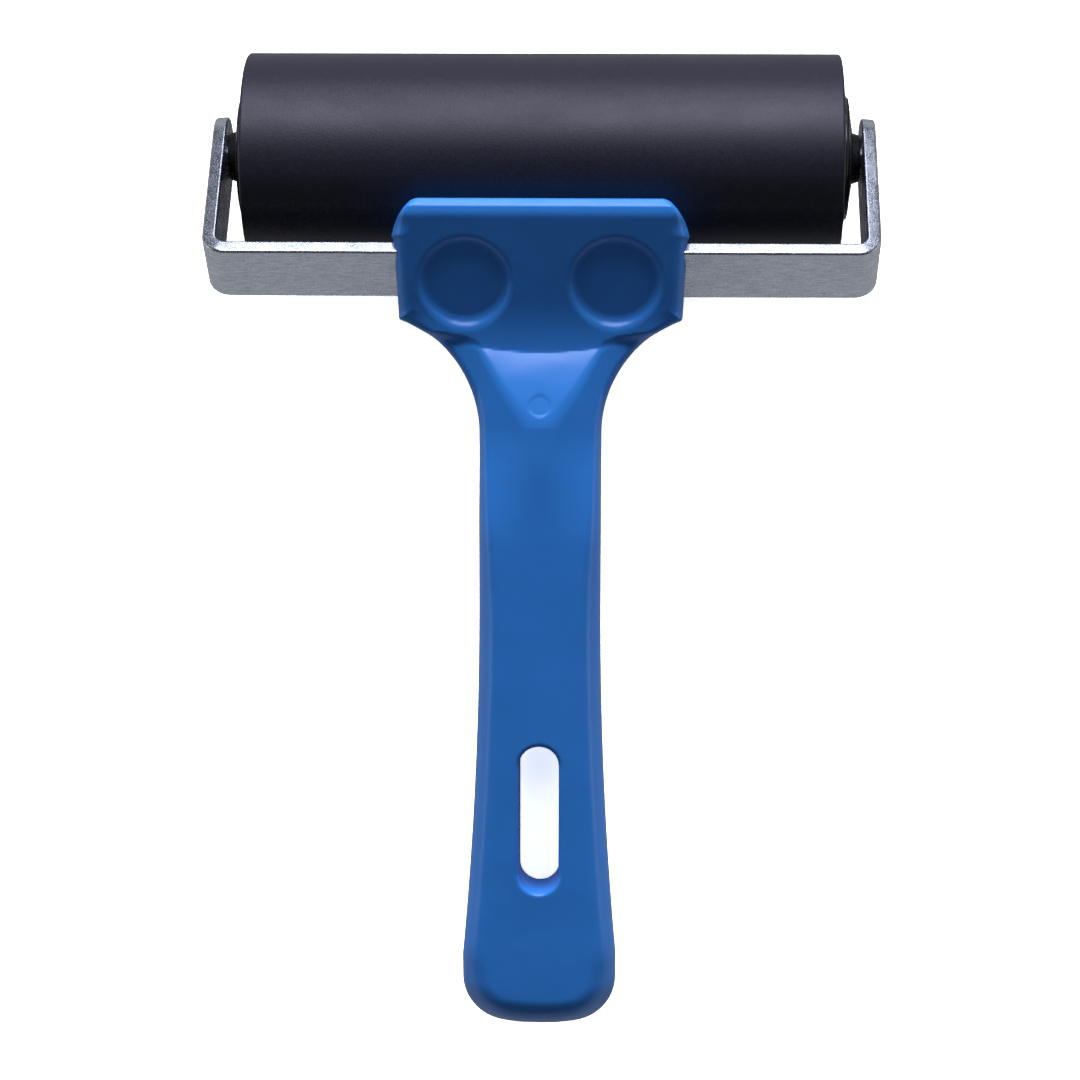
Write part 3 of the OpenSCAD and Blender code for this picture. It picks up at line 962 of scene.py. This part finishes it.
def black_material(name, low, high, rough_low, rough_high):
    """Moulded black plastic with faint rings around the axle."""
    m = Nodes(name, IOR=1.49)
    fleck = m.noise(m.mapped((1, 1, 1)), 1.6, 3.0, 0.6)
    turned = m.noise(m.mapped((6.0, 0.4, 0.4), centre=tuple(AXLE)), 1.0, 3.0, 0.6)
    colour = m.blend(fleck, low, high)
    rough = m.span(fleck, 0.3, 0.7, rough_low, rough_high)
    return m.feed(Base_Color=colour, Roughness=rough, Normal=m.bump(turned, 0.006))


plastic = plastic_material()
zinc = zinc_material()
axle_steel = steel_material(
    "axle_steel", (0.46, 0.47, 0.50), (0.66, 0.67, 0.70), (0.3, 3.0, 3.0), tuple(AXLE))
rivet_steel = steel_material(
    "rivet_steel", (0.50, 0.51, 0.54), (0.70, 0.71, 0.74), (2.0, 2.0, 2.0), (0, 0, 0))
tube_steel = steel_material(
    "tube_steel", (0.36, 0.36, 0.38), (0.55, 0.55, 0.58), (0.3, 2.0, 2.0), tuple(AXLE))
rubber = rubber_material()
cap_black = black_material("cap_black", (0.012, 0.012, 0.015), (0.022, 0.022, 0.026), 0.16, 0.26)
bush_black = black_material("bush_black", (0.009, 0.009, 0.011), (0.017, 0.017, 0.020), 0.22, 0.34)

# ---------------------------------------------------------------- pieces on their bodies
for piece, body, material, slot, nodes in (
    (handle, "frame", plastic, "handle_plastic", ["handle"]),
    (yoke, "frame", zinc, "zinc_plated_steel", ["yoke"]),
    (axle, "frame", axle_steel, "axle_steel", ["axle"]),
    (rivets[0], "frame", rivet_steel, "rivet_steel", ["head_rivets"]),
    (rivets[1], "frame", rivet_steel, "rivet_steel", ["head_rivets"]),
    (sleeve, "roller", rubber, "roller_rubber", ["roller_sleeve"]),
    (core, "roller", tube_steel, "core_tube", ["roller_core"]),
    (cap_left, "roller", cap_black, "cap_black", ["end_cap_left"]),
    (cap_right, "roller", cap_black, "cap_black", ["end_cap_right"]),
    (bush_left, "roller", bush_black, "bush_black", ["bush_left"]),
    (bush_right, "roller", bush_black, "bush_black", ["bush_right"]),
):
    piece.data.materials.clear()
    piece.data.materials.append(material)
    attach(piece, body)
    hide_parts(*nodes)

# ---------------------------------------------------------------- stage
scene = bpy.context.scene

# The floor in metres, its tone for light that bounces and for the camera, and the
# room's brightness at the horizon, higher up and where the camera sees it.
FLOOR_REACH = 2.0
CARD_TONE = 0.3
CARD_SEEN = 2.8
ROOM_LOW = 0.11
ROOM_HIGH = 0.075
ROOM_SEEN = 1.3
ROOM_TINT = (0.88, 0.92, 1.0)


def floor_material():
    """White card, over-exposed where it is seen, so that only the contact shadow shows."""
    m = Nodes("pale_floor")
    seen = m.add("ShaderNodeLightPath").outputs["Is Camera Ray"]
    card = m.add("ShaderNodeBsdfDiffuse")
    m.link(m.blend(seen, (CARD_TONE,) * 3, (CARD_SEEN,) * 3), card.inputs["Color"])
    m.link(card.outputs[0], m.tree.nodes["Material Output"].inputs["Surface"])
    return m.material


floor_mesh = bpy.data.meshes.new("floor")
corners = [(-1, -1), (1, -1), (1, 1), (-1, 1)]
corners = [(x * FLOOR_REACH, y * FLOOR_REACH, 0) for x, y in corners]
floor_mesh.from_pydata(corners, [], [(0, 1, 2, 3)])
floor = bpy.data.objects.new("floor", floor_mesh)
scene.collection.objects.link(floor)
floor_mesh.materials.append(floor_material())
floor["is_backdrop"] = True

world = bpy.data.worlds.new("studio")
scene.world = world
world.use_nodes = True


def studio_sky(tree):
    """A dark room whose walls are paler near the horizon, and pale where it is seen."""
    sky = tree.nodes["Background"]
    where = tree.nodes.new("ShaderNodeTexCoord")
    parts = tree.nodes.new("ShaderNodeSeparateXYZ")
    band = tree.nodes.new("ShaderNodeMapRange")
    band.interpolation_type = "SMOOTHSTEP"
    ends = {"From Min": 0.0, "From Max": 0.50, "To Min": ROOM_LOW, "To Max": ROOM_HIGH}
    for key, number in ends.items():
        band.inputs[key].default_value = number
    path = tree.nodes.new("ShaderNodeLightPath")
    pick = tree.nodes.new("ShaderNodeMix")
    pick.inputs["B"].default_value = ROOM_SEEN
    tree.links.new(where.outputs["Generated"], parts.inputs[0])
    tree.links.new(parts.outputs["Z"], band.inputs["Value"])
    tree.links.new(path.outputs["Is Camera Ray"], pick.inputs["Factor"])
    tree.links.new(band.outputs[0], pick.inputs["A"])
    tree.links.new(pick.outputs[0], sky.inputs["Strength"])
    sky.inputs["Color"].default_value = (*ROOM_TINT, 1)


studio_sky(world.node_tree)


# Where the softboxes stand and aim, in metres.
SOFTBOX_DISTANCE = 1.4
SOFTBOX_AIM = Vector((0, 0.01, 0.02))

# What each softbox lights: the object or the floor.
pieces_only = bpy.data.collections.new("pieces_only")
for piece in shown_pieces():
    pieces_only.objects.link(piece)
floor_only = bpy.data.collections.new("floor_only")
floor_only.objects.link(floor)


def softbox(name, azimuth, elevation, width, height, radiance,
            seen_by="both", lights=pieces_only, tint=(1, 1, 1)):
    """An area light aimed at the object. Azimuth 0 is +Y and 90 is +X.

    It feeds both diffuse and glossy light, or only the kind that seen_by names.
    """
    a, e = math.radians(azimuth), math.radians(elevation)
    toward = Vector((math.sin(a) * math.cos(e), math.cos(a) * math.cos(e), math.sin(e)))
    light = bpy.data.lights.new(name, "AREA")
    light.shape = "RECTANGLE"
    light.size, light.size_y = width, height
    # A Lambertian panel of radiance L and area A gives pi * A * L watts.
    light.energy = radiance * width * height * math.pi
    light.color = tint
    lamp = bpy.data.objects.new(name, light)
    lamp.location = SOFTBOX_AIM + toward * SOFTBOX_DISTANCE
    lamp.visible_diffuse = seen_by != "gloss"
    lamp.visible_glossy = seen_by != "diffuse"
    lamp.light_linking.receiver_collection = lights
    lamp.rotation_euler = toward.to_track_quat("Z", "Y").to_euler()
    scene.collection.objects.link(lamp)


softbox("key", 0, 51, 0.9, 0.75, 5.7, "gloss", tint=(0.95, 0.95, 1.12))
softbox("key_low", 0, 23.5, 0.8, 0.20, 4.8, "gloss", tint=(0.95, 0.97, 1.10))
softbox("window", 0, 28, 1.2, 0.45, 19.0, "diffuse")
softbox("low_left", -85, 8, 1.2, 0.3, 1.3)
softbox("low_right", 85, 8, 1.2, 0.3, 1.3)
softbox("overhead", 0, 90, 5.0, 5.0, 1.0, "diffuse", floor_only)
softbox("overhead_front", 0, 58, 1.2, 1.2, 3.0, "diffuse", floor_only)

# The camera's place in mm, its directions and its lens were fitted to the
# outlines in the photograph.
CAMERA_PLACE = Vector((13.48, -24.88, 515.12))
CAMERA_LOOK = Vector((-0.0273, 0.0499, -0.9984))
CAMERA_RIGHT = Vector((0.9996, 0.0081, -0.027))

camera_data = bpy.data.cameras.new("camera")
camera = bpy.data.objects.new("camera", camera_data)
scene.collection.objects.link(camera)
camera_data.sensor_width = 36.0
camera_data.lens = 98.25
camera_data.clip_start, camera_data.clip_end = 0.01, 20.0
look = CAMERA_LOOK.normalized()
upward = CAMERA_RIGHT.normalized().cross(look).normalized()
rightward = look.cross(upward).normalized()
turn = Matrix((rightward, upward, -look)).transposed().to_4x4()
camera.matrix_world = Matrix.Translation(CAMERA_PLACE * MM) @ turn
scene.camera = camera
scene.view_settings.view_transform = "Standard"
